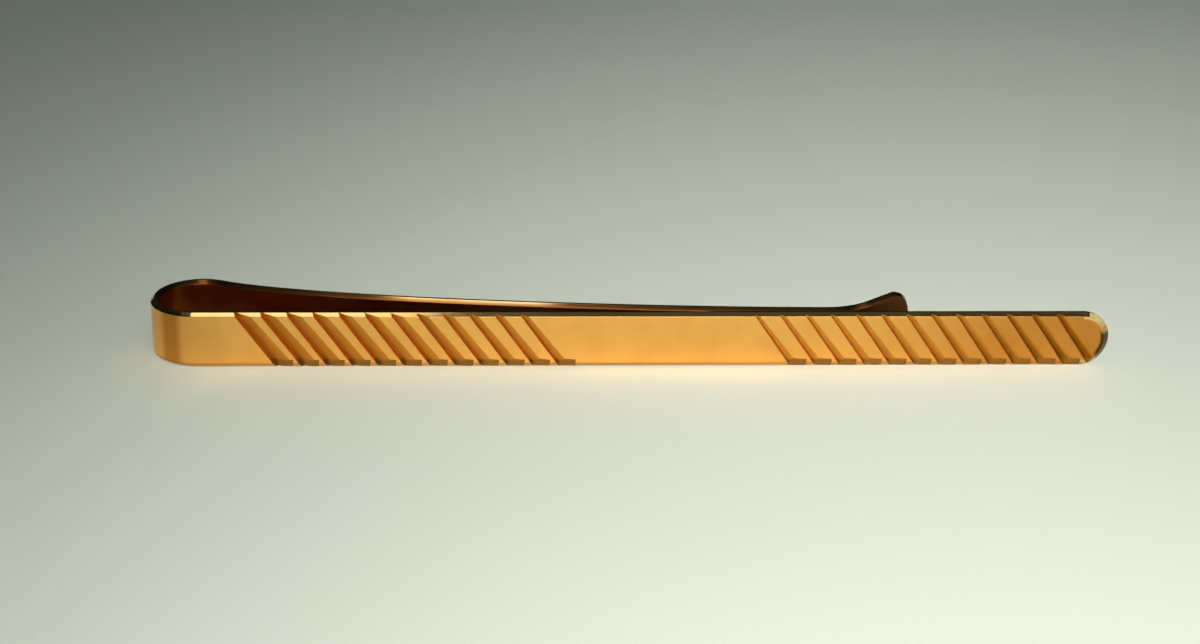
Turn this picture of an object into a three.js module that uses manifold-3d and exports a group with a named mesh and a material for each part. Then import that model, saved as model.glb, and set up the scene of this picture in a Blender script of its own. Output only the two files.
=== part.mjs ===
// A tie slide: one strip of sprung gold-plated brass, engraved in front and folded back on itself.
// Millimetres, +Z up. The strip stands on its long edge at z = 0, with the bend at -X and the engraved
// face looking along -Y. Behind the bar the leg lies against it, and its tip flares out to let a tie in.

import * as THREE from 'three';
import { mergeVertices } from 'three/addons/utils/BufferGeometryUtils.js';
import Module from 'manifold-3d';

// The strip
const STRIP_WIDTH = 4.2;
const STRIP_THICKNESS = 0.7;
const EDGE_BEVEL = 0.25;
const END_BEVEL = 0.45; // round end of the engraved side, at its tip
const END_SPREAD = 0.27; // how much of that bevel is gone where the round end begins

// The fold, seen from above
const LENGTH = 70;
const BEND_RADIUS = 3.5; // outside of the bend
const BEND_OVERTURN = 25; // degrees that the bend goes on past a half turn
const LEG_REACH = 48.2; // from the bend's outside to where the leg lies on the bar
const LEG_CLEARANCE = 0.1; // from the leg to the bar there
const LEG_LEAVING = 8.4; // arm of the leg's curve as it leaves the bend
const LEG_LANDING = 9; // arm of the leg's curve as it comes down on the bar
const LIP_RUN = 0.9; // from there to where the lip turns out
const LIP_RADIUS = 5;
const LIP_ANGLE = 39.5;
const LIP_STRAIGHT = 4.7; // from the end of that turn to the tip
const TIP_CORNER = 2; // radius of the tip's corners

// Where the strip flexes
const LEG_FLEX = 6.7; // from the end of the bend, along the leg
const FLEX_GAP = 0.1; // between stretches that turn against each other
const SEAM_GAP = 0.02; // between stretches that stay together

// The engraving: slanting grooves, each with a facet on the lower edge at its foot
const GROOVE_PITCH = 1.85;
const GROOVE_SLANT = 35.4; // degrees from upright, foot to the right
const LEFT_GROOVES = { first: -27.2, count: 12, firstDepth: 0.36, lastDepth: 0.2 };
const RIGHT_GROOVES = { first: 10.05, count: 13, firstDepth: 0.15, lastDepth: 0.23 };
const GROOVE_DEEPENING = 0.1; // from a groove's top to its foot
const STEEP_WALL = 15; // degrees from square to the face, on the lower left
const SHALLOW_WALL = 68.5; // the same, on the upper right
const FACET_START = -0.2; // from the groove's foot, along the edge
const FACET_LENGTH = 1.25;
const FACET_HEIGHT = 0.7;
const FACET_DEPTH = 0.3;
const FACET_FALL = 5; // degrees that a facet falls to the right

// The finish
const GOLD = '#e9ae52';
const POLISHED = 0.18;
const BRUSHED = 0.3;

// How finely curves are cut, and how far cutters overshoot
const BEND_STEP = 7.5;
const LEG_STEP = 1.6;
const ROUND_STEPS = 16;
const OVERSHOOT = 0.5;

const { degToRad } = THREE.MathUtils;
const wasm = await Module();
wasm.setup();

const faceY = -BEND_RADIUS;
const gripY = faceY + STRIP_THICKNESS;
const bendX = BEND_RADIUS - LENGTH / 2;
const lineRadius = BEND_RADIUS - STRIP_THICKNESS / 2;

// An arc in the plan, between two angles in degrees.
class PlanArc extends THREE.Curve {
  constructor(centreX, centreY, radius, startAngle, endAngle) {
    super();
    Object.assign(this, { centreX, centreY, radius, startAngle, endAngle });
  }

  getPoint(t, target = new THREE.Vector3()) {
    const angle = degToRad(THREE.MathUtils.lerp(this.startAngle, this.endAngle, t));
    const x = this.centreX + this.radius * Math.cos(angle);
    const y = this.centreY + this.radius * Math.sin(angle);
    return target.set(x, y, 0);
  }
}

// The part of a centre line between two distances along it.
class Stretch extends THREE.Curve {
  constructor(line, start, end) {
    super();
    Object.assign(this, { line, start, end });
  }

  getPoint(t, target = new THREE.Vector3()) {
    const distance = THREE.MathUtils.lerp(this.start, this.end, t);
    return target.copy(this.line.getPoint(distance / this.line.getLength()));
  }
}

function toSolid(geometry) {
  const bare = geometry.clone();
  bare.deleteAttribute('normal');
  bare.deleteAttribute('uv');
  const merged = mergeVertices(bare);
  const mesh = new wasm.Mesh({
    numProp: 3,
    vertProperties: merged.attributes.position.array,
    triVerts: new Uint32Array(merged.index.array),
  });
  return new wasm.Manifold(mesh);
}

function toGeometry(solid) {
  const mesh = solid.getMesh();
  const geometry = new THREE.BufferGeometry();
  geometry.setAttribute('position', new THREE.BufferAttribute(mesh.vertProperties, 3));
  geometry.setIndex(new THREE.BufferAttribute(mesh.triVerts, 1));
  geometry.computeVertexNormals();
  return geometry;
}

function sweep(section, path, steps) {
  return new THREE.ExtrudeGeometry(section, { steps, bevelEnabled: false, extrudePath: path });
}

function polygon(...corners) {
  return new THREE.Shape(corners.map(([x, y]) => new THREE.Vector2(x, y)));
}

// The strip's section as it is swept: x runs down the width, y through the thickness.
function stripSection() {
  const side = STRIP_THICKNESS / 2;
  const edge = side - EDGE_BEVEL;
  return polygon(
    [-EDGE_BEVEL, -side],
    [0, -edge],
    [0, edge],
    [-EDGE_BEVEL, side],
    [EDGE_BEVEL - STRIP_WIDTH, side],
    [-STRIP_WIDTH, edge],
    [-STRIP_WIDTH, -edge],
    [EDGE_BEVEL - STRIP_WIDTH, -side],
  );
}

// The folded centre line behind the bar: bend, leg, run along the bar, lip. It overshoots the tip.
function foldLine() {
  const bend = new PlanArc(bendX, 0, lineRadius, -90, 90 - BEND_OVERTURN - 360);
  const leaving = bend.getTangent(1);
  const root = bend.getPoint(1);
  const legY = gripY + LEG_CLEARANCE + STRIP_THICKNESS / 2;
  const landing = new THREE.Vector3(LEG_REACH - LENGTH / 2, legY, 0);
  const leg = new THREE.CubicBezierCurve3(
    root,
    root.clone().addScaledVector(leaving, LEG_LEAVING),
    landing.clone().setX(landing.x - LEG_LANDING),
    landing,
  );
  const runEnd = landing.clone().setX(landing.x + LIP_RUN);
  const lip = new PlanArc(runEnd.x, runEnd.y + LIP_RADIUS, LIP_RADIUS, -90, LIP_ANGLE - 90);
  const lipEnd = lip.getPoint(1);
  const blankEnd = lipEnd.clone().addScaledVector(lipDirection(), LIP_STRAIGHT + OVERSHOOT);
  const line = new THREE.CurvePath();
  line.add(bend);
  line.add(leg);
  line.add(new THREE.LineCurve3(landing, runEnd));
  line.add(lip);
  line.add(new THREE.LineCurve3(lipEnd, blankEnd));
  return line;
}

function lipDirection() {
  return new THREE.Vector3(Math.cos(degToRad(LIP_ANGLE)), Math.sin(degToRad(LIP_ANGLE)), 0);
}

// The bar's outline from the front, with its round right end and an overlong left end. It can be spread
// above and below the strip, with its tip kept.
function barOutline(spread) {
  const radius = STRIP_WIDTH / 2 + spread;
  const roundX = LENGTH / 2 - radius;
  const outline = new THREE.Shape();
  outline.moveTo(bendX - OVERSHOOT, -spread);
  outline.lineTo(roundX, -spread);
  outline.absarc(roundX, STRIP_WIDTH / 2, radius, -Math.PI / 2, Math.PI / 2, false);
  outline.lineTo(bendX - OVERSHOOT, STRIP_WIDTH + spread);
  return outline;
}

// A plate of the bar's outline between two depths, with its edges bevelled.
function barPlate(nearY, farY, bevel, spread = 0) {
  const plate = new THREE.ExtrudeGeometry(barOutline(spread), {
    depth: farY - nearY - 2 * bevel,
    curveSegments: ROUND_STEPS,
    bevelThickness: bevel,
    bevelSize: bevel,
    bevelOffset: -bevel,
    bevelSegments: 1,
  });
  plate.rotateX(Math.PI / 2);
  return toSolid(plate.translate(0, farY - bevel, 0));
}

// Everything left of the bar's joint with the bend.
function barTrim() {
  const trim = new THREE.BoxGeometry(2 * BEND_RADIUS, 2 * BEND_RADIUS, 2 * STRIP_WIDTH);
  return toSolid(trim.translate(bendX - BEND_RADIUS, faceY, STRIP_WIDTH / 2));
}

// The cutter of one groove: its point runs deeper from the top edge to the lower edge.
function grooveCutter(middleX, middleDepth) {
  const lean = Math.tan(degToRad(GROOVE_SLANT));
  const end = STRIP_WIDTH / 2 + OVERSHOOT;
  const deepening = GROOVE_DEEPENING / STRIP_WIDTH;
  const pointAt = (below) =>
    new THREE.Vector3(
      middleX + below * lean,
      faceY + middleDepth + below * deepening,
      STRIP_WIDTH / 2 - below,
    );
  const section = polygon(
    [0, 0],
    [OVERSHOOT, -OVERSHOOT * Math.tan(degToRad(SHALLOW_WALL))],
    [OVERSHOOT, OVERSHOOT * Math.tan(degToRad(STEEP_WALL))],
  );
  return toSolid(sweep(section, new THREE.LineCurve3(pointAt(-end), pointAt(end)), 1));
}

// The cutter of the facet that starts at a groove's foot and falls to the right.
function facetCutter(middleX) {
  const footX = middleX + (STRIP_WIDTH / 2) * Math.tan(degToRad(GROOVE_SLANT));
  const section = polygon(
    [FACET_DEPTH, -2 * FACET_HEIGHT],
    [-2 * FACET_DEPTH, FACET_HEIGHT],
    [FACET_DEPTH, FACET_HEIGHT],
  );
  const fall = degToRad(FACET_FALL);
  const along = new THREE.Vector3(Math.cos(fall), 0, -Math.sin(fall));
  const start = new THREE.Vector3(footX + FACET_START, faceY, 0);
  const end = start.clone().addScaledVector(along, FACET_LENGTH);
  return toSolid(sweep(section, new THREE.LineCurve3(start, end), 1));
}

function frontBar() {
  const bevelledBar = barPlate(faceY, gripY, EDGE_BEVEL);
  const bevelledEnd = barPlate(faceY, gripY + OVERSHOOT, END_BEVEL, END_SPREAD);
  let bar = bevelledBar.intersect(bevelledEnd).subtract(barTrim());
  for (const { first, count, firstDepth, lastDepth } of [LEFT_GROOVES, RIGHT_GROOVES]) {
    for (let i = 0; i < count; i += 1) {
      const middleX = first + i * GROOVE_PITCH;
      const depth = THREE.MathUtils.lerp(firstDepth, lastDepth, i / (count - 1));
      bar = bar.subtract(grooveCutter(middleX, depth)).subtract(facetCutter(middleX));
    }
  }
  return toGeometry(bar);
}

// What lies outside the tip of the lip and its round corners, through the strip's thickness.
function tipCutter(blankEnd) {
  const cornerX = -OVERSHOOT - TIP_CORNER;
  const outline = new THREE.Shape();
  outline.moveTo(cornerX, STRIP_WIDTH + OVERSHOOT);
  outline.lineTo(OVERSHOOT, STRIP_WIDTH + OVERSHOOT);
  outline.lineTo(OVERSHOOT, -OVERSHOOT);
  outline.lineTo(cornerX, -OVERSHOOT);
  outline.lineTo(cornerX, 0);
  outline.absarc(cornerX, TIP_CORNER, TIP_CORNER, -Math.PI / 2, 0, false);
  outline.absarc(cornerX, STRIP_WIDTH - TIP_CORNER, TIP_CORNER, 0, Math.PI / 2, false);
  const depth = 2 * STRIP_THICKNESS;
  const cutter = new THREE.ExtrudeGeometry(outline, {
    depth,
    curveSegments: ROUND_STEPS,
    bevelEnabled: false,
  });
  const along = lipDirection();
  const up = new THREE.Vector3(0, 0, 1);
  const through = along.clone().cross(up);
  cutter.translate(0, 0, -depth / 2);
  cutter.applyMatrix4(new THREE.Matrix4().makeBasis(along, up, through).setPosition(blankEnd));
  return toSolid(cutter);
}

function leadInLip(stretch, steps) {
  const blank = toSolid(sweep(stripSection(), stretch, steps));
  return toGeometry(blank.subtract(tipCutter(stretch.getPoint(1))));
}

function addPiece(group, name, geometry, roughness) {
  const material = new THREE.MeshStandardMaterial({ color: GOLD, metalness: 1, roughness });
  const mesh = new THREE.Mesh(geometry, material);
  mesh.name = name;
  group.add(mesh);
}

function buildSlide() {
  const line = foldLine();
  const [bend, leg, run, lip] = line.curves;
  const bendMiddle = lineRadius * degToRad(90);
  const bendEnd = bend.getLength();
  const legFlex = bendEnd + LEG_FLEX;
  const lipStart = bendEnd + leg.getLength();
  const lineEnd = line.getLength();
  const bendSteps = (length) => Math.ceil(length / (lineRadius * degToRad(BEND_STEP)));
  const lipSteps = Math.ceil((run.getLength() + lip.getLength()) / LEG_STEP) * 4;
  const strip = (start, end, steps) => sweep(stripSection(), new Stretch(line, start, end), steps);

  const slide = new THREE.Group();
  addPiece(slide, 'front_bar', frontBar(), POLISHED);

  const frontEnd = bendMiddle - FLEX_GAP / 2;
  const bendFront = strip(SEAM_GAP, frontEnd, bendSteps(frontEnd));
  addPiece(slide, 'bend_front', bendFront, POLISHED);

  const backStart = bendMiddle + FLEX_GAP / 2;
  const bendBack = strip(backStart, bendEnd, bendSteps(bendEnd - backStart));
  addPiece(slide, 'bend_back', bendBack, POLISHED);

  const rootStart = bendEnd + SEAM_GAP;
  const rootEnd = legFlex - FLEX_GAP / 2;
  addPiece(slide, 'leg_root', strip(rootStart, rootEnd, Math.ceil(LEG_FLEX / LEG_STEP)), BRUSHED);

  const legStart = legFlex + FLEX_GAP / 2;
  const legSteps = Math.ceil((lipStart - legStart) / LEG_STEP);
  addPiece(slide, 'spring_leg', strip(legStart, lipStart, legSteps), BRUSHED);

  const lipStretch = new Stretch(line, lipStart + SEAM_GAP, lineEnd);
  addPiece(slide, 'lead_in_lip', leadInLip(lipStretch, lipSteps), BRUSHED);
  return slide;
}

export default buildSlide();
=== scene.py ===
"""A gold-plated tie slide, laid out as an add-on.

Property groups hold its sizes and finishes, and one operator makes each piece. The strip is made the way that
a goldsmith makes it: a flat blank with a round end is bevelled, engraved and then folded. Lengths are in
metres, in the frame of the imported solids: +X runs from the bend to the round end, the engraved face looks
along -Y, and the strip stands on its long edge at z = 0.
"""

import math

import bmesh
import bpy
from bpy.props import FloatProperty, FloatVectorProperty, IntProperty, PointerProperty
from mathutils import Matrix, Vector


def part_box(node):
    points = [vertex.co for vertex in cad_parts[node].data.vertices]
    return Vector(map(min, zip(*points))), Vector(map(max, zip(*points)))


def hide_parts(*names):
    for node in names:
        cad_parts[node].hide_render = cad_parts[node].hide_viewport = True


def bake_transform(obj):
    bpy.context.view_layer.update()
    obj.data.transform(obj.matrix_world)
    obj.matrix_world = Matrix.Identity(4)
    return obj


bl_info = {
    "name": "Tie Slide",
    "version": (1, 0, 0),
    "blender": (4, 5, 0),
    "location": "View3D > Sidebar > Tie Slide",
    "description": "Models an engraved, gold-plated tie slide over its packed solids",
    "category": "Add Mesh",
}

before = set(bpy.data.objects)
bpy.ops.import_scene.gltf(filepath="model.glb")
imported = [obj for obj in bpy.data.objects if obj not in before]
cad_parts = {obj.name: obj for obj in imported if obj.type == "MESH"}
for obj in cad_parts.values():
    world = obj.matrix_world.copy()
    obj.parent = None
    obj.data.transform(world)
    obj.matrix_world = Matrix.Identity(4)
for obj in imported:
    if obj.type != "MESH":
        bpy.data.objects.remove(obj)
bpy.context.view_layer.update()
bar_low, bar_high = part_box("front_bar")
face_y = bar_low.y

MM = 0.001
UP = Vector((0, 0, 1))

# Points closer than NEAR are merged, and a cut within a HAIR of a point goes through it
NEAR = 0.002 * MM
HAIR = NEAR / 100

# Edges that turn more than this are rounded by polishing, or stay sharp in the shading
ROUNDED_ANGLE = math.radians(12)
SHARP_ANGLE = math.radians(18)

# Settings that many nodes share
EASED = {"interpolation_type": "SMOOTHSTEP"}
COLOURS = {"data_type": "RGBA"}

# Sockets of a Mix node that mixes colours
FACTOR = 0
FIRST = 6
SECOND = 7
MIXED = 2


def linear(hex_colour):
    """An sRGB hex colour as linear red, green and blue."""
    channels = (int(hex_colour[i:i + 2], 16) / 255 for i in (1, 3, 5))
    return tuple(c / 12.92 if c <= 0.04045 else ((c + 0.055) / 1.055) ** 2.4 for c in channels)


def length(name, description, default):
    """A length that a user can change."""
    return FloatProperty(
        name=name, description=description, default=default, precision=5, unit="LENGTH", subtype="DISTANCE"
    )


def angle(name, description, degrees):
    """An angle that a user can change."""
    return FloatProperty(
        name=name, description=description, default=math.radians(degrees), unit="ROTATION", subtype="ANGLE"
    )


def count(name, description, default):
    """A number of like things that a user can change."""
    return IntProperty(name=name, description=description, default=default, min=1)


def colour(name, description, hex_colour):
    """A colour that a user can change."""
    return FloatVectorProperty(
        name=name, description=description, default=linear(hex_colour), size=3, min=0, max=1, subtype="COLOR"
    )


class StripSizes(bpy.types.PropertyGroup):
    """The strip that the slide is folded from."""

    width: length("Width", "Height of the strip as it stands on its edge", bar_high.z - bar_low.z)
    thickness: length("Thickness", "Thickness of the strip", bar_high.y - bar_low.y)
    edge_bevel: length("Edge bevel", "Bevel on the long edges, on both sides", 0.25 * MM)
    end_bevel: length("End bevel", "Bevel on the round end of the engraved side, at its tip", 0.45 * MM)
    end_spread: length("End spread", "How much of that bevel is gone where the round end begins", 0.27 * MM)
    tip_corner: length("Tip corner", "Radius of the corners at the tip of the lip", 2 * MM)
    softness: length("Softness", "Rounding that polishing leaves on the edges", 0.02 * MM)


class EngravingSizes(bpy.types.PropertyGroup):
    """The slanting grooves on the face, each with a facet on the lower edge at its foot."""

    pitch: length("Pitch", "From one groove to the next, along the strip", 1.85 * MM)
    slant: angle("Slant", "Lean of a groove from upright, with its foot to the right", 35.4)
    left_first: length("Left first", "Middle of the first groove by the bend", -27.2 * MM)
    left_count: count("Left count", "Grooves by the bend", 12)
    left_first_depth: length("Left first depth", "Depth of the first groove by the bend", 0.36 * MM)
    left_last_depth: length("Left last depth", "Depth of the last groove in that row", 0.2 * MM)
    right_first: length("Right first", "Middle of the first groove towards the round end", 10.05 * MM)
    right_count: count("Right count", "Grooves towards the round end", 13)
    right_first_depth: length("Right first depth", "Depth of that first groove", 0.15 * MM)
    right_last_depth: length("Right last depth", "Depth of the last groove in that row", 0.23 * MM)
    deepening: length("Deepening", "How much deeper a groove is at its foot than at its top", 0.1 * MM)
    steep_wall: angle("Steep wall", "Lean of the lower left wall from square to the face", 15)
    shallow_wall: angle("Shallow wall", "Lean of the upper right wall from square to the face", 68.5)
    facet_start: length("Facet start", "From a groove's foot to the start of its facet", -0.2 * MM)
    facet_length: length("Facet length", "Length of a facet along the lower edge", 1.25 * MM)
    facet_height: length("Facet height", "Height of a facet on the face", 0.7 * MM)
    facet_depth: length("Facet depth", "Depth of a facet at the lower edge", 0.3 * MM)
    facet_fall: angle("Facet fall", "How far a facet falls to the right", 5)


class FoldSizes(bpy.types.PropertyGroup):
    """The line that the strip follows behind the bar, seen from above."""

    overturn: angle("Overturn", "How far the bend goes on past a half turn", 25)
    leg_reach: length("Leg reach", "From the outside of the bend to where the leg lies on the bar", 48.2 * MM)
    leg_clearance: length("Leg clearance", "From the leg to the bar there", 0.1 * MM)
    leg_leaving: length("Leg leaving", "Arm of the leg's curve as it leaves the bend", 8.4 * MM)
    leg_landing: length("Leg landing", "Arm of the leg's curve as it comes down on the bar", 9 * MM)
    lip_run: length("Lip run", "From there to where the lip turns out", 0.9 * MM)
    lip_radius: length("Lip radius", "Radius of the lip's turn at the middle of the strip", 5 * MM)
    lip_angle: angle("Lip angle", "How far the lip turns out", 39.5)
    lip_straight: length("Lip straight", "From the end of that turn to the tip", 4.7 * MM)


class Finishes(bpy.types.PropertyGroup):
    """Colours of the gold and of the table."""

    gold: colour("Gold", "Polished gold plate", "#FFBC62")
    # Also painted on as shade and dark reflections along the leg, towards the round end and at the bend
    film_and_shade: colour("Film", "Gold plate under the film that handling leaves", "#C87C2C")
    # Paler edges, partly from wear and partly a painted highlight
    pale_edge: colour("Rubbed gold", "Gold plate on the edges, rubbed paler", "#FFD79B")
    # Its darker, redder colour inside the fold is painted shade; the dullness there is real roughness
    grip_side_shade: colour("Grip side", "Duller gold plate on the side that holds the tie", "#B8703E")
    cut: colour("Cut gold", "Gold plate at the top of the grooves' walls", "#D08C36")
    groove: colour("Groove", "Gold plate at the bottom of the grooves", "#CC8630")
    darkest_groove: colour("Grime", "Gold plate at the bottom of the grooves by the round end", "#935A08")
    # Dark brown for the facets and the grooves' feet, and a painted contact shade along the lower edge
    dark_brown: colour("Tarnish", "Brown film at the grooves' feet and along the lower edge", "#9C6D30")
    # Painted dark: a painted dark reflection on the tip, and painted shade on the edges inside the fold
    painted_dark: colour("Stain", "Dark film on the tip and along the inside of the fold", "#5A3E10")
    table: colour("Table", "Matt table top", "#E1E5D6")


class SlideSettings(bpy.types.PropertyGroup):
    """All that a user can change on the slide."""

    strip: PointerProperty(type=StripSizes)
    engraving: PointerProperty(type=EngravingSizes)
    fold: PointerProperty(type=FoldSizes)
    finishes: PointerProperty(type=Finishes)


# Modelling

def pick(piece):
    """Selects one piece alone and makes it active."""
    bpy.ops.object.select_all(action="DESELECT")
    piece.select_set(True)
    bpy.context.view_layer.objects.active = piece


def choose(piece, kind, passes):
    """Opens a piece for editing and selects only the edges or faces that pass a test."""
    bpy.context.view_layer.objects.active = piece
    if piece.mode != "EDIT":
        bpy.ops.object.mode_set(mode="EDIT")
    bpy.ops.mesh.select_mode(type=kind)
    bpy.ops.mesh.select_all(action="DESELECT")
    mesh = bmesh.from_edit_mesh(piece.data)
    for part in mesh.edges if kind == "EDGE" else mesh.faces:
        if passes(part):
            part.select_set(True)
    bmesh.update_edit_mesh(piece.data)


def close(piece):
    """Merges what lies together, turns the faces outwards and ends the editing."""
    choose(piece, "FACE", lambda face: True)
    bpy.ops.mesh.remove_doubles(threshold=NEAR)
    bpy.ops.mesh.normals_make_consistent(inside=False)
    bpy.ops.object.mode_set(mode="OBJECT")


def on_plane(part, axis, place):
    """Whether an edge or face lies on a plane square to an axis."""
    return all(abs(vert.co[axis] - place) < NEAR for vert in part.verts)


def add_block(name, low, high):
    """A block between two corners."""
    low, high = Vector(low), Vector(high)
    bpy.ops.object.select_all(action="DESELECT")
    bpy.ops.mesh.primitive_cube_add(size=1, location=(low + high) / 2, scale=high - low)
    bpy.ops.object.transform_apply()
    block = bpy.context.object
    block.name = name
    return block


def shave(piece, point, normal):
    """Cuts away what lies beyond a plane and closes the cut."""
    choose(piece, "FACE", lambda face: True)
    bpy.ops.mesh.bisect(plane_co=point, plane_no=normal, use_fill=True, clear_outer=True, threshold=HAIR)


def apply_modifier(piece, kind, settings):
    """Adds a modifier to a piece and applies it."""
    pick(piece)
    modifier = piece.modifiers.new(kind.title(), kind)
    for name, value in settings.items():
        setattr(modifier, name, value)
    bpy.ops.object.modifier_apply(modifier=modifier.name)


def add_strip(name, start, end, corner, strip):
    """A flat blank of strip with an open end at start and round corners at end, its edges bevelled."""
    half = strip.thickness / 2
    blank = add_block(name, (start, -half, 0), (end, half, strip.width))

    def is_corner(edge):
        return on_plane(edge, 0, end) and abs(edge.verts[0].co.z - edge.verts[1].co.z) < NEAR

    def is_rim(edge):
        on_side = on_plane(edge, 1, -half) or on_plane(edge, 1, half)
        return on_side and not on_plane(edge, 0, start)

    def is_sharp(edge):
        return edge.calc_face_angle(0) > ROUNDED_ANGLE and not on_plane(edge, 0, start)

    # The corners are a touch smaller than asked, so that two of them make a half round without a clash.
    for passes, offset, segments in (
        (is_corner, corner - NEAR / 4, 48),
        (is_rim, strip.edge_bevel, 1),
        (is_sharp, strip.softness, 2),
    ):
        choose(blank, "EDGE", passes)
        bpy.ops.mesh.bevel(offset=offset, segments=segments, affect="EDGES")
        close(blank)
    return blank


def slice_across(piece, start, end, step):
    """Cuts across a piece at even steps along X, so that no face of it is much longer than the rest."""
    for i in range(1, int((end - start) / step)):
        choose(piece, "FACE", lambda face: True)
        bpy.ops.mesh.bisect(plane_co=(start + i * step, 0, 0), plane_no=(1, 0, 0), threshold=HAIR)
    close(piece)


def file_end(bar, strip):
    """Files a wider bevel on the round end of the face, in short strokes from its foot to its top."""
    radius = strip.width / 2 + strip.end_spread
    middle = Vector((bar_high.x - radius, face_y, strip.width / 2))
    strokes = 36
    for i in range(1, strokes):
        turn = math.pi * (i / strokes - 0.5)
        outwards = Vector((math.cos(turn), 0, math.sin(turn)))
        shave(bar, middle + (radius - strip.end_bevel) * outwards, outwards - Vector((0, 1, 0)))
    close(bar)


def groove_places(engraving):
    """The middle of each groove along the strip, with its depth there. Depths change evenly along a row."""
    left = (engraving.left_first, engraving.left_count)
    left_depths = (engraving.left_first_depth, engraving.left_last_depth)
    right = (engraving.right_first, engraving.right_count)
    right_depths = (engraving.right_first_depth, engraving.right_last_depth)
    places = []
    for (first, number), (first_depth, last_depth) in ((left, left_depths), (right, right_depths)):
        change = (last_depth - first_depth) / max(number - 1, 1)
        places += [(first + i * engraving.pitch, first_depth + i * change) for i in range(number)]
    return places


def groove_cutter(engraving, strip, depth):
    """The wedge that cuts a groove middled at x = 0. Its point runs deeper towards the foot."""
    out = Vector((0, -1, 0))
    point = Vector((0, face_y + depth, strip.width / 2))
    along = Vector((math.tan(engraving.slant), engraving.deepening / strip.width, -1)).normalized()
    across = Vector((math.cos(engraving.slant), 0, math.sin(engraving.slant)))
    spare = 0.1 * MM
    reach = strip.width
    wedge = add_block(
        "groove_cutter",
        (-reach, face_y - spare, -spare),
        (reach, face_y + 2 * depth, strip.width + spare),
    )
    for lean, way in ((engraving.shallow_wall, across), (engraving.steep_wall, -across)):
        normal = along.cross(out + math.tan(lean) * way).normalized()
        shave(wedge, point, normal if normal.dot(way) > 0 else -normal)
    close(wedge)
    return wedge


def facet_cutter(engraving, strip):
    """The wedge that cuts the facet at the foot of a groove middled at x = 0."""
    height, depth = engraving.facet_height, engraving.facet_depth
    wedge = add_block("facet_cutter", (0, -depth, -height), (engraving.facet_length, 2 * depth, 2 * height))
    shave(wedge, (0, 0, height), Vector((0, height, depth)).normalized())
    close(wedge)
    foot = strip.width / 2 * math.tan(engraving.slant)
    wedge.location = (foot + engraving.facet_start, face_y, 0)
    wedge.rotation_euler.y = engraving.facet_fall
    bpy.ops.object.transform_apply()
    return wedge


def cut_row(bar, cutter, offsets, finish):
    """Cuts the bar with copies of one cutter, each moved by its own offset, and gives the cuts a finish."""
    for material in bar.data.materials:
        cutter.data.materials.append(material)
    slot = bar.data.materials.find(finish.name)
    cutter.data.polygons.foreach_set("material_index", [slot] * len(cutter.data.polygons))
    bpy.ops.object.select_all(action="DESELECT")
    for offset in offsets:
        copy = cutter.copy()
        copy.data = cutter.data.copy()
        copy.location = offset
        bpy.context.collection.objects.link(copy)
        copy.select_set(True)
        bpy.context.view_layer.objects.active = copy
    bpy.ops.object.join()
    row = bpy.context.object
    apply_modifier(bar, "BOOLEAN", {"operation": "DIFFERENCE", "solver": "EXACT", "object": row})
    bpy.data.objects.remove(row)
    bpy.data.objects.remove(cutter)


def engrave(bar, settings):
    """Gives the bar its finishes, cuts its grooves, and then cuts the facets at their feet."""
    strip, engraving, finishes = settings.strip, settings.engraving, settings.finishes
    polished = polished_gold(finishes, strip)
    cut = cut_gold(finishes, engraving)
    dark_facets = dark_facet_gold(finishes)
    for finish in (polished, cut, dark_facets):
        bar.data.materials.append(finish)
    grooves = groove_places(engraving)
    deepest = max(depth for middle, depth in grooves)
    wedge = groove_cutter(engraving, strip, deepest)
    cut_row(bar, wedge, [(middle, depth - deepest, 0) for middle, depth in grooves], cut)
    wedge = facet_cutter(engraving, strip)
    cut_row(bar, wedge, [(middle, 0, 0) for middle, depth in grooves], dark_facets)
    close(bar)


def bend_radius(strip):
    """Radius of the bend at the middle of the strip."""
    return -face_y - strip.thickness / 2


def fold_back(bar, fold):
    """Carries the open end of the bar round the bend, in steps of about one degree."""
    choose(bar, "FACE", lambda face: on_plane(face, 0, bar_low.x))
    turn = math.pi + fold.overturn
    bpy.ops.mesh.spin(steps=round(math.degrees(turn)), angle=turn, center=(bar_low.x, 0, 0), axis=UP)
    close(bar)


def leg_line(strip, fold):
    """The middle line of the leg and lip, from the end of the bend to the tip."""
    end_of_bend = math.pi / 2 - fold.overturn
    outwards = Vector((math.cos(end_of_bend), math.sin(end_of_bend), 0))
    root = Vector((bar_low.x, 0, 0)) + bend_radius(strip) * outwards
    leaving = Vector((outwards.y, -outwards.x, 0))
    landing = Vector((
        fold.leg_reach - bar_high.x, bar_high.y + fold.leg_clearance + strip.thickness / 2, 0
    ))
    ahead = Vector((1, 0, 0))
    run_end = landing + fold.lip_run * ahead
    flare = Vector((math.cos(fold.lip_angle), math.sin(fold.lip_angle), 0))
    lip_end = run_end + fold.lip_radius * Vector((flare.y, 1 - flare.x, 0))
    tip = lip_end + fold.lip_straight * flare
    arc_arm = 4 / 3 * math.tan(fold.lip_angle / 4) * fold.lip_radius
    knots = (
        (root, leaving, 0, fold.leg_leaving),
        (landing, ahead, fold.leg_landing, fold.lip_run / 3),
        (run_end, ahead, fold.lip_run / 3, arc_arm),
        (lip_end, flare, arc_arm, fold.lip_straight / 3),
        (tip, flare, fold.lip_straight / 3, 0),
    )
    bpy.ops.object.select_all(action="DESELECT")
    bpy.ops.curve.primitive_bezier_curve_add()
    line = bpy.context.object
    line.data.resolution_u = 128
    line.data.twist_mode = "Z_UP"
    spline = line.data.splines[0]
    spline.bezier_points.add(len(knots) - len(spline.bezier_points))
    for point, (place, direction, arm_before, arm_after) in zip(spline.bezier_points, knots):
        point.handle_left_type = point.handle_right_type = "FREE"
        point.co = place
        point.handle_left = place - arm_before * direction
        point.handle_right = place + arm_after * direction
    return line


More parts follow.
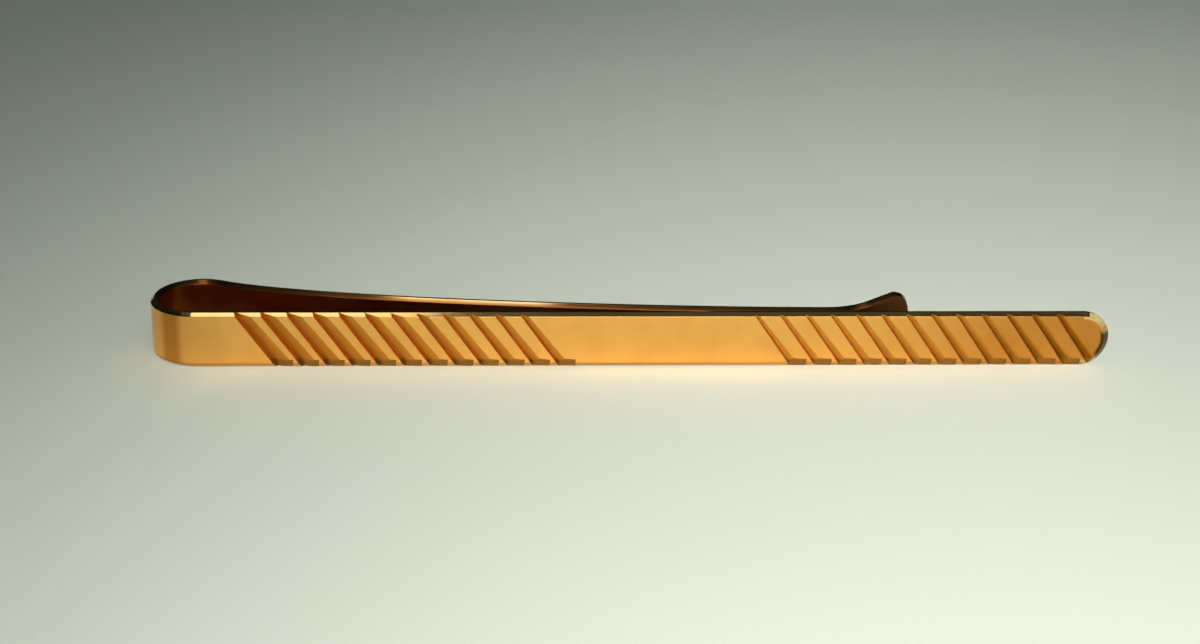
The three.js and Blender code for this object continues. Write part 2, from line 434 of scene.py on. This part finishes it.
def bar_place(point, strip):
    """How far along the strip a point of the bar or bend is, and how far through it."""
    if point.x >= bar_low.x and point.y < 0:
        return point.x, point.y - face_y
    across = Vector((point.x - bar_low.x, point.y))
    turned = (-math.pi / 2 - math.atan2(across.y, across.x)) % (2 * math.pi)
    return bar_low.x - bend_radius(strip) * turned, -face_y - across.length


def mark(piece, place_at):
    """Stores how far along the strip and through it each point is, for patterns that follow the fold."""
    places = [place_at(vert.co) for vert in piece.data.vertices]
    for name, values in zip(("run", "through"), zip(*places)):
        piece.data.attributes.new(name, "FLOAT", "POINT").data.foreach_set("value", values)


def smooth(piece):
    """Smooth shading, apart from across the edges that stay sharp."""
    pick(piece)
    bpy.ops.object.shade_smooth_by_angle(angle=SHARP_ANGLE)
    # The modifier takes faces as small as these for nothing, so for it they are as large in metres as they
    # are in millimetres.
    piece.scale = (1 / MM, 1 / MM, 1 / MM)
    bpy.ops.object.transform_apply()
    apply_modifier(piece, "WEIGHTED_NORMAL", {"keep_sharp": True})
    piece.scale = (MM, MM, MM)
    bpy.ops.object.transform_apply()


# Materials

def add_node(tree, kind, settings, inputs):
    """Adds a node with its settings, and its inputs as values or as links from other nodes' sockets."""
    node = tree.nodes.new(kind)
    for name, value in settings.items():
        setattr(node, name, value)
    for name, value in inputs.items():
        if isinstance(value, bpy.types.NodeSocket):
            tree.links.new(value, node.inputs[name])
        else:
            node.inputs[name].default_value = value
    return node


def new_material(name):
    """A material with no nodes yet."""
    material = bpy.data.materials.new(name)
    material.use_nodes = True
    material.node_tree.nodes.clear()
    return material


def film_and_painted_shade(tree, x, run, clouds):
    """How thick the film is: thin clouds from handling all over, and painted shade and dark reflections in
    places.
    """
    film_and_shade = add_node(tree, "ShaderNodeMapRange", {}, {
        "Value": clouds, "From Min": 0.45, "From Max": 0.75, "To Max": 0.2,
    }).outputs["Result"]
    dark_band = bar_low.x - 1.7 * MM
    from_dark_band = add_node(tree, "ShaderNodeMath", {"operation": "SUBTRACT"}, {
        0: run, 1: dark_band,
    }).outputs["Value"]
    from_dark_band = add_node(tree, "ShaderNodeMath", {"operation": "ABSOLUTE"}, {0: from_dark_band}).outputs["Value"]
    # Painted shade and dark reflections thicken it along the leg, twice towards the round end, and in a band
    # at the bend.
    for value, fade_start, full, most in (
        (run, bar_low.x - 11 * MM, bar_low.x - 15 * MM, 0.4),
        (x, 7 * MM, 14 * MM, 0.12),
        (x, 14 * MM, 30 * MM, 0.6),
        (from_dark_band, 1 * MM, 0.3 * MM, 0.8),
    ):
        more = add_node(tree, "ShaderNodeMapRange", EASED, {
            "Value": value, "From Min": fade_start, "From Max": full, "To Max": most,
        }).outputs["Result"]
        film_and_shade = add_node(tree, "ShaderNodeMath", {"operation": "ADD"}, {0: film_and_shade, 1: more}).outputs["Value"]
    return film_and_shade


def strip_edges(tree, x, height, from_round, radius):
    """How near the long edges are, or the edge of the round end."""
    from_middle = add_node(tree, "ShaderNodeMath", {"operation": "SUBTRACT"}, {
        0: height, 1: radius,
    }).outputs["Value"]
    from_middle = add_node(tree, "ShaderNodeMath", {"operation": "ABSOLUTE"}, {
        0: from_middle,
    }).outputs["Value"]
    long_edge = add_node(tree, "ShaderNodeMapRange", EASED, {
        "Value": from_middle, "From Min": radius - 0.35 * MM, "From Max": radius,
    }).outputs["Result"]
    round_edge = add_node(tree, "ShaderNodeMapRange", EASED, {
        "Value": from_round, "From Min": radius - 0.55 * MM, "From Max": radius - 0.35 * MM,
    }).outputs["Result"]
    on_round = add_node(tree, "ShaderNodeMath", {"operation": "GREATER_THAN"}, {
        0: x, 1: bar_high.x - radius,
    }).outputs["Value"]
    round_edge = add_node(tree, "ShaderNodeMath", {"operation": "MULTIPLY"}, {
        0: round_edge, 1: on_round,
    }).outputs["Value"]
    return add_node(tree, "ShaderNodeMath", {"operation": "MAXIMUM"}, {
        0: long_edge, 1: round_edge,
    }).outputs["Value"]


def inside_of_fold(tree, x, edge, strip):
    """Where the inside of the fold is, without the stretch of its edges that is left pale for the lamp's
    highlight.
    """
    through = add_node(tree, "ShaderNodeAttribute", {"attribute_name": "through"}, {}).outputs["Fac"]
    inside = add_node(tree, "ShaderNodeMapRange", EASED, {
        "Value": through,
        "From Min": strip.thickness - 1.2 * strip.edge_bevel,
        "From Max": strip.thickness - 0.7 * strip.edge_bevel,
    }).outputs["Result"]
    # Outside this stretch the edges inside the fold get painted shade; within it the lamp's highlight shows
    pale_edge = edge
    for beyond, within in ((-20 * MM, -16 * MM), (-4 * MM, -7.5 * MM)):
        stretch = add_node(tree, "ShaderNodeMapRange", EASED, {
            "Value": x, "From Min": beyond, "From Max": within,
        }).outputs["Result"]
        pale_edge = add_node(tree, "ShaderNodeMath", {"operation": "MULTIPLY"}, {
            0: pale_edge, 1: stretch,
        }).outputs["Value"]
    outside_pale_stretch = add_node(tree, "ShaderNodeMath", {"operation": "SUBTRACT"}, {
        0: 1.0, 1: pale_edge,
    }).outputs["Value"]
    return add_node(tree, "ShaderNodeMath", {"operation": "MULTIPLY"}, {
        0: inside, 1: outside_pale_stretch,
    }).outputs["Value"]


def tip_painted_dark(tree, x, height, from_round, strip):
    """Where the lower part of the bevel at the tip is painted dark, as a painted dark reflection."""
    radius = strip.width / 2
    painted_dark = 1.0
    for value, fade_start, fade_end in (
        (from_round, radius - 0.78 * MM, radius - 0.6 * MM),
        (x, bar_high.x - 1.3 * MM, bar_high.x - 0.8 * MM),
        (height, 0.7 * strip.width, 0.58 * strip.width),
        (height, 0.04 * strip.width, 0.2 * strip.width),
    ):
        near = add_node(tree, "ShaderNodeMapRange", EASED, {
            "Value": value, "From Min": fade_start, "From Max": fade_end,
        }).outputs["Result"]
        painted_dark = add_node(tree, "ShaderNodeMath", {"operation": "MULTIPLY"}, {
            0: near, 1: painted_dark,
        }).outputs["Value"]
    return painted_dark


def polished_gold(finishes, strip):
    """Gold plate over brass, polished on a mop."""
    # A warm mirror with fine lines along the strip from the mop, clouded redder in random patches by
    # handling, and painted redder still as shade and dark reflections on the bend, the leg and towards the
    # round end. It is paler along its edges, partly from wear and partly as a painted highlight. Its sheet is
    # not quite flat, so reflections waver a little. The mop does not reach inside the fold, where it is
    # duller, and there it is painted redder and darker as shade, with its edges painted dark as shade apart
    # from a stretch where the lamp's highlight shows. A painted contact shade runs in brown along the edge
    # that the slide stands on, and the lower part of the tip's bevel is painted dark as a dark reflection.
    material = new_material("polished gold plate")
    tree = material.node_tree
    place = add_node(tree, "ShaderNodeTexCoord", {}, {}).outputs["Object"]
    split = add_node(tree, "ShaderNodeSeparateXYZ", {}, {"Vector": place}).outputs
    x, height = split["X"], split["Z"]
    run = add_node(tree, "ShaderNodeAttribute", {"attribute_name": "run"}, {}).outputs["Fac"]
    clouds = add_node(tree, "ShaderNodeTexNoise", {}, {
        "Vector": place, "Scale": 1 / (4 * MM), "Detail": 4.0, "Roughness": 0.6,
    }).outputs["Fac"]
    # The mop's lines are some 0.01 mm apart, too fine to show, and are drawn 0.12 mm apart.
    along = add_node(tree, "ShaderNodeCombineXYZ", {}, {"X": run, "Z": height}).outputs["Vector"]
    stretched = add_node(tree, "ShaderNodeVectorMath", {"operation": "MULTIPLY"}, {
        0: along, 1: (1 / (6 * MM), 1, 1 / (0.12 * MM)),
    }).outputs["Vector"]
    lines = add_node(tree, "ShaderNodeTexNoise", {}, {
        "Vector": stretched, "Scale": 1.0, "Detail": 2.0,
    }).outputs["Fac"]

    radius = strip.width / 2
    flat = add_node(tree, "ShaderNodeCombineXYZ", {}, {"X": x, "Z": height}).outputs["Vector"]
    from_round = add_node(tree, "ShaderNodeVectorMath", {"operation": "DISTANCE"}, {
        0: flat, 1: (bar_high.x - radius, 0, radius),
    }).outputs["Value"]
    edge = strip_edges(tree, x, height, from_round, radius)
    # Paler along the edges, partly wear and partly a painted highlight
    wear_and_highlight = add_node(tree, "ShaderNodeMapRange", {}, {
        "Value": clouds, "From Min": 0.25, "From Max": 0.6, "To Max": edge,
    }).outputs["Result"]
    # Inside the fold: duller for real, and painted darker and redder as shade
    inside = inside_of_fold(tree, x, edge, strip)
    # Painted shade on the edges inside the fold
    painted_dark_edge = add_node(tree, "ShaderNodeMath", {"operation": "MULTIPLY"}, {
        0: inside, 1: edge,
    }).outputs["Value"]
    # Painted contact shade: the lower edge is painted brown
    foot = add_node(tree, "ShaderNodeMapRange", EASED, {
        "Value": height, "From Min": 0.45 * MM, "From Max": 0.25 * MM, "To Max": 0.65,
    }).outputs["Result"]
    surface_colour = (*finishes.gold, 1)
    for amount, hue in (
        (film_and_painted_shade(tree, x, run, clouds), finishes.film_and_shade),
        (wear_and_highlight, finishes.pale_edge),
        (inside, finishes.grip_side_shade),
        (painted_dark_edge, finishes.painted_dark),
        (foot, finishes.dark_brown),
        (tip_painted_dark(tree, x, height, from_round, strip), finishes.painted_dark),
    ):
        surface_colour = add_node(tree, "ShaderNodeMix", COLOURS, {
            FACTOR: amount, FIRST: surface_colour, SECOND: (*hue, 1),
        }).outputs[MIXED]

    grain = add_node(tree, "ShaderNodeMath", {"operation": "MULTIPLY_ADD"}, {
        0: lines, 1: 0.35, 2: clouds,
    }).outputs["Value"]
    rough = add_node(tree, "ShaderNodeMapRange", {}, {
        "Value": grain, "From Min": 0.4, "From Max": 0.95, "To Min": 0.05, "To Max": 0.13,
    }).outputs["Result"]
    rough = add_node(tree, "ShaderNodeMath", {"operation": "MULTIPLY_ADD"}, {
        0: inside, 1: 0.14, 2: rough,
    }).outputs["Value"]
    waves = add_node(tree, "ShaderNodeTexNoise", {}, {"Vector": place, "Scale": 1 / (7 * MM), "Detail": 1.0})
    wavy = add_node(tree, "ShaderNodeBump", {}, {"Height": waves.outputs["Fac"], "Distance": 0.02 * MM})
    lined = add_node(tree, "ShaderNodeBump", {}, {
        "Height": lines, "Distance": 0.0008 * MM, "Normal": wavy.outputs["Normal"],
    })
    shader = add_node(tree, "ShaderNodeBsdfPrincipled", {}, {
        "Base Color": surface_colour, "Metallic": 1.0, "Roughness": rough, "Normal": lined.outputs["Normal"],
    })
    add_node(tree, "ShaderNodeOutputMaterial", {}, {"Surface": shader.outputs["BSDF"]})
    return material


def cut_gold(finishes, engraving):
    """Gold plate on walls that a graver cut."""
    # Duller than the face, with the graver's scores along each groove, and redder and darker towards the
    # bottom. It is darker still there in the grooves by the round end, and brown at the foot of every groove.
    material = new_material("cut gold plate")
    tree = material.node_tree
    place = add_node(tree, "ShaderNodeTexCoord", {}, {}).outputs["Object"]
    split = add_node(tree, "ShaderNodeSeparateXYZ", {}, {"Vector": place}).outputs
    deep = add_node(tree, "ShaderNodeMapRange", EASED, {
        "Value": split["Y"], "From Min": face_y, "From Max": face_y + 0.13 * MM,
    }).outputs["Result"]
    full = add_node(tree, "ShaderNodeMapRange", EASED, {
        "Value": split["X"], "From Min": 0.4 * bar_high.x, "From Max": bar_high.x,
    }).outputs["Result"]
    low = add_node(tree, "ShaderNodeMapRange", EASED, {
        "Value": split["Z"], "From Min": engraving.facet_height, "From Max": 0.6 * engraving.facet_height,
    }).outputs["Result"]
    bottom = add_node(tree, "ShaderNodeMix", COLOURS, {
        FACTOR: full, FIRST: (*finishes.groove, 1), SECOND: (*finishes.darkest_groove, 1),
    }).outputs[MIXED]
    walls = add_node(tree, "ShaderNodeMix", COLOURS, {
        FACTOR: deep, FIRST: (*finishes.cut, 1), SECOND: bottom,
    }).outputs[MIXED]
    walls = add_node(tree, "ShaderNodeMix", COLOURS, {
        FACTOR: low, FIRST: walls, SECOND: (*finishes.dark_brown, 1),
    }).outputs[MIXED]

    # The scores are drawn 0.08 mm apart and 2 mm long. Real ones are finer than the render can show.
    upright = add_node(tree, "ShaderNodeVectorRotate", {"rotation_type": "Y_AXIS"}, {
        "Vector": place, "Angle": -engraving.slant,
    }).outputs["Vector"]
    stretched = add_node(tree, "ShaderNodeVectorMath", {"operation": "MULTIPLY"}, {
        0: upright, 1: (1 / (0.08 * MM), 1 / (0.08 * MM), 1 / (2 * MM)),
    }).outputs["Vector"]
    scores = add_node(tree, "ShaderNodeTexNoise", {}, {
        "Vector": stretched, "Scale": 1.0, "Detail": 2.0,
    }).outputs["Fac"]
    rough = add_node(tree, "ShaderNodeMapRange", {}, {
        "Value": scores, "From Min": 0.3, "From Max": 0.7, "To Min": 0.38, "To Max": 0.52,
    }).outputs["Result"]
    scored = add_node(tree, "ShaderNodeBump", {}, {"Height": scores, "Distance": 0.003 * MM})
    shader = add_node(tree, "ShaderNodeBsdfPrincipled", {}, {
        "Base Color": walls, "Metallic": 1.0, "Roughness": rough, "Normal": scored.outputs["Normal"],
    })
    add_node(tree, "ShaderNodeOutputMaterial", {}, {"Surface": shader.outputs["BSDF"]})
    return material


def dark_facet_gold(finishes):
    """Gold plate, dark brown in patches, on the small facets."""
    # Dark brown in patches, darker than anywhere else on the slide, so the facets look dark beside the face.
    material = new_material("dark facet gold plate")
    tree = material.node_tree
    place = add_node(tree, "ShaderNodeTexCoord", {}, {}).outputs["Object"]
    patches = add_node(tree, "ShaderNodeTexNoise", {}, {
        "Vector": place, "Scale": 1 / (0.5 * MM), "Detail": 3.0,
    }).outputs["Fac"]
    less_dark = add_node(tree, "ShaderNodeMapRange", {}, {
        "Value": patches, "From Min": 0.5, "From Max": 0.8, "To Max": 0.5,
    }).outputs["Result"]
    patchy = add_node(tree, "ShaderNodeMix", COLOURS, {
        FACTOR: less_dark, FIRST: (*finishes.dark_brown, 1), SECOND: (*finishes.cut, 1),
    }).outputs[MIXED]
    rough = add_node(tree, "ShaderNodeMapRange", {}, {
        "Value": patches, "From Min": 0.3, "From Max": 0.7, "To Min": 0.42, "To Max": 0.3,
    }).outputs["Result"]
    pitted = add_node(tree, "ShaderNodeBump", {}, {"Height": patches, "Distance": 0.006 * MM})
    shader = add_node(tree, "ShaderNodeBsdfPrincipled", {}, {
        "Base Color": patchy, "Metallic": 1.0, "Roughness": rough, "Normal": pitted.outputs["Normal"],
    })
    add_node(tree, "ShaderNodeOutputMaterial", {}, {"Surface": shader.outputs["BSDF"]})
    return material


def matt_table(finishes):
    """A table top painted matt."""
    # Pale and even, with the faint grain of the roller.
    material = new_material("matt painted table")
    tree = material.node_tree
    place = add_node(tree, "ShaderNodeTexCoord", {}, {}).outputs["Object"]
    clouds = add_node(tree, "ShaderNodeTexNoise", {}, {
        "Vector": place, "Scale": 1 / (60 * MM), "Detail": 2.0,
    }).outputs["Fac"]
    duller = tuple(0.95 * channel for channel in finishes.table)
    even = add_node(tree, "ShaderNodeMix", COLOURS, {
        FACTOR: clouds, FIRST: (*finishes.table, 1), SECOND: (*duller, 1),
    }).outputs[MIXED]
    grain = add_node(tree, "ShaderNodeTexNoise", {}, {
        "Vector": place, "Scale": 1 / (0.6 * MM), "Detail": 2.0,
    }).outputs["Fac"]
    bump = add_node(tree, "ShaderNodeBump", {}, {"Height": grain, "Distance": 0.01 * MM})
    shader = add_node(tree, "ShaderNodeBsdfPrincipled", {}, {
        "Base Color": even, "Roughness": 0.75, "Specular IOR Level": 0.2, "Normal": bump.outputs["Normal"],
    })
    add_node(tree, "ShaderNodeOutputMaterial", {}, {"Surface": shader.outputs["BSDF"]})
    return material


# Stage

def add_light(name, place, target, sides, power, spread, hex_colour):
    """A soft light. Place, target and the two sides are in millimetres, and the spread is in degrees."""
    place, target = Vector(place) * MM, Vector(target) * MM
    bpy.ops.object.light_add(type="AREA", location=place)
    light = bpy.context.object
    light.name = name
    light.rotation_euler = (target - place).to_track_quat("-Z", "Y").to_euler()
    light.data.shape = "RECTANGLE"
    light.data.size = sides[0] * MM
    light.data.size_y = sides[1] * MM
    light.data.energy = power
    light.data.color = linear(hex_colour)
    light.data.spread = math.radians(spread)
    light.visible_camera = False


def add_camera(scene):
    """The camera where the photograph was taken from, rolled a little."""
    place = Vector((-12.33, -142.49, 62.34)) * MM
    forward = Vector((0.0646, 0.91907, -0.38876)).normalized()
    roll = math.radians(-1.514)
    right = forward.cross(UP).normalized()
    up = right.cross(forward)
    right, up = (
        math.cos(roll) * right - math.sin(roll) * up,
        math.sin(roll) * right + math.cos(roll) * up,
    )
    bpy.ops.object.camera_add(location=place)
    camera = bpy.context.object
    camera.rotation_euler = Matrix((right, up, -forward)).transposed().to_euler()
    camera.data.sensor_width = 36
    camera.data.lens = 62.97
    camera.data.clip_start = 1 * MM
    camera.data.clip_end = 10
    scene.camera = camera


# Operators

class TIESLIDE_OT_engraved_bar(bpy.types.Operator):
    """The engraved bar and the round bend, in one piece"""

    bl_idname = "tie_slide.engraved_bar"
    bl_label = "Engraved Bar"

    def execute(self, context):
        settings = context.scene.tie_slide
        strip = settings.strip
        bar = add_strip("engraved_bar", bar_low.x, bar_high.x, strip.width / 2, strip)
        bar.location.y = (bar_low.y + bar_high.y) / 2
        bpy.ops.object.transform_apply()
        slice_across(bar, bar_low.x, bar_high.x - strip.width / 2, step=1 * MM)
        file_end(bar, strip)
        engrave(bar, settings)
        fold_back(bar, settings.fold)
        mark(bar, lambda point: bar_place(point, strip))
        smooth(bar)
        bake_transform(bar)
        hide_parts("front_bar", "bend_front", "bend_back")
        return {"FINISHED"}


class TIESLIDE_OT_sprung_leg(bpy.types.Operator):
    """The sprung leg and its flared lip, in one piece"""

    bl_idname = "tie_slide.sprung_leg"
    bl_label = "Sprung Leg"

    def execute(self, context):
        settings = context.scene.tie_slide
        strip, fold = settings.strip, settings.fold
        line = leg_line(strip, fold)
        reach = line.data.splines[0].calc_length()
        leg = add_strip("sprung_leg", 0, reach, strip.tip_corner, strip)
        slice_across(leg, 0, reach - strip.tip_corner, step=0.25 * MM)
        bend_end = bar_low.x - bend_radius(strip) * (math.pi + fold.overturn)
        mark(leg, lambda point: (bend_end - point.x, strip.thickness / 2 - point.y))
        apply_modifier(leg, "CURVE", {"object": line, "deform_axis": "POS_X"})
        bpy.data.objects.remove(line)
        leg.data.materials.append(bpy.data.materials["polished gold plate"])
        smooth(leg)
        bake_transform(leg)
        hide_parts("leg_root", "spring_leg", "lead_in_lip")
        return {"FINISHED"}


class TIESLIDE_OT_stage(bpy.types.Operator):
    """The table, the lights and the camera"""

    bl_idname = "tie_slide.stage"
    bl_label = "Stage"

    def execute(self, context):
        table_side = 4
        just_under = -0.01 * MM
        bpy.ops.object.select_all(action="DESELECT")
        bpy.ops.mesh.primitive_plane_add(size=table_side, location=(0, 0, just_under))
        table = context.object
        table.name = "table"
        table.data.materials.append(matt_table(context.scene.tie_slide.finishes))

        add_light("key light", (-72, -515, 300), (17, -65, 0), (70, 40), 0.077, 20, "#FFFFFF")
        add_light("fill light", (100, -600, 500), (0, 0, 0), (300, 300), 1.6, 180, "#F6FFFA")
        add_light("window", (330, -110, 165), (30, -110, 165), (300, 330), 0.22, 180, "#E7FFF3")
        add_light("strip light", (-80, -192, 460), (-25, -3, 0), (110, 140), 0.063, 180, "#FFFFFF")
        add_light("ceiling light", (0, 0, 800), (0, 0, 0), (950, 760), 0.14, 180, "#E7FFF3")

        dim_walls = (0.01, 0.013, 0.011, 1)
        world = bpy.data.worlds.new("room")
        world.use_nodes = True
        background = world.node_tree.nodes["Background"].inputs
        background["Color"].default_value = dim_walls
        background["Strength"].default_value = 1
        context.scene.world = world

        add_camera(context.scene)
        context.scene.view_settings.view_transform = "Standard"
        return {"FINISHED"}


class TIESLIDE_PT_sidebar(bpy.types.Panel):
    """Sizes and finishes of the slide, and a button for each piece"""

    bl_idname = "TIESLIDE_PT_sidebar"
    bl_label = "Tie Slide"
    bl_space_type = "VIEW_3D"
    bl_region_type = "UI"
    bl_category = "Tie Slide"

    def draw(self, context):
        settings = context.scene.tie_slide
        for group in (settings.strip, settings.engraving, settings.fold, settings.finishes):
            column = self.layout.box().column()
            for name in group.bl_rna.properties.keys():
                if name not in ("rna_type", "name"):
                    column.prop(group, name)
        for operator in OPERATORS:
            self.layout.operator(operator.bl_idname)


OPERATORS = (TIESLIDE_OT_engraved_bar, TIESLIDE_OT_sprung_leg, TIESLIDE_OT_stage)
CLASSES = (
    StripSizes, EngravingSizes, FoldSizes, Finishes, SlideSettings, *OPERATORS, TIESLIDE_PT_sidebar
)


def register():
    for cls in CLASSES:
        bpy.utils.register_class(cls)
    bpy.types.Scene.tie_slide = PointerProperty(type=SlideSettings)


def unregister():
    del bpy.types.Scene.tie_slide
    for cls in reversed(CLASSES):
        bpy.utils.unregister_class(cls)


def main():
    register()
    bpy.ops.tie_slide.engraved_bar()
    bpy.ops.tie_slide.sprung_leg()
    bpy.ops.tie_slide.stage()


if __name__ == "__main__":
    main()
